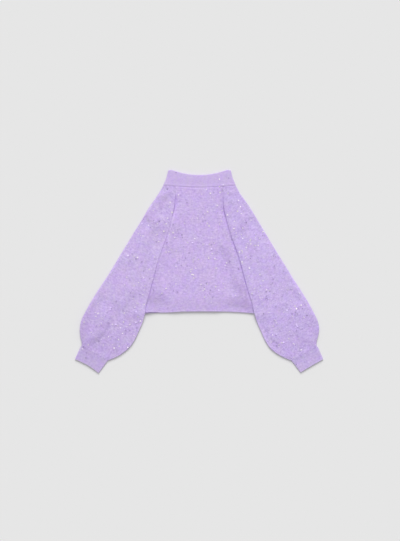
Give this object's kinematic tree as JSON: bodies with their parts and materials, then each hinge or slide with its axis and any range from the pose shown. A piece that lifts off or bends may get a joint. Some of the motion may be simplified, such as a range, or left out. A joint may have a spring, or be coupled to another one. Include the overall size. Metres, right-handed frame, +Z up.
{
  "type": "cropped knit sweater",
  "caption": "Cropped knit sweater with a stand collar and balloon sleeves gathered into narrow cuffs, lying flat with the sleeves folded down over the front.",
  "frame": {"origin": "middle of the flat outline, on the surface that the sweater lies on", "axes": "+X across the sweater towards the wearer's left sleeve, +Y from the hem towards the collar, +Z up, out of the front"},
  "size_m": [0.885, 0.7246, 0.0115],
  "materials": {
    "body_knit": "soft brushed fine knit in lilac with scattered small sequins",
    "sleeve_knit": "soft brushed fine knit in lilac with scattered small sequins",
    "cuff_knit": "firm plain knit in lilac",
    "collar_knit": "firm plain knit in lilac, two thicknesses"
  },
  "bodies": {
    "root": {"back_panel": "body_knit", "front_panel": "body_knit", "sleeve_left": "sleeve_knit", "sleeve_right": "sleeve_knit", "cuff_left": "cuff_knit", "cuff_right": "cuff_knit", "collar": "collar_knit"}
  },
  "joints": []
}
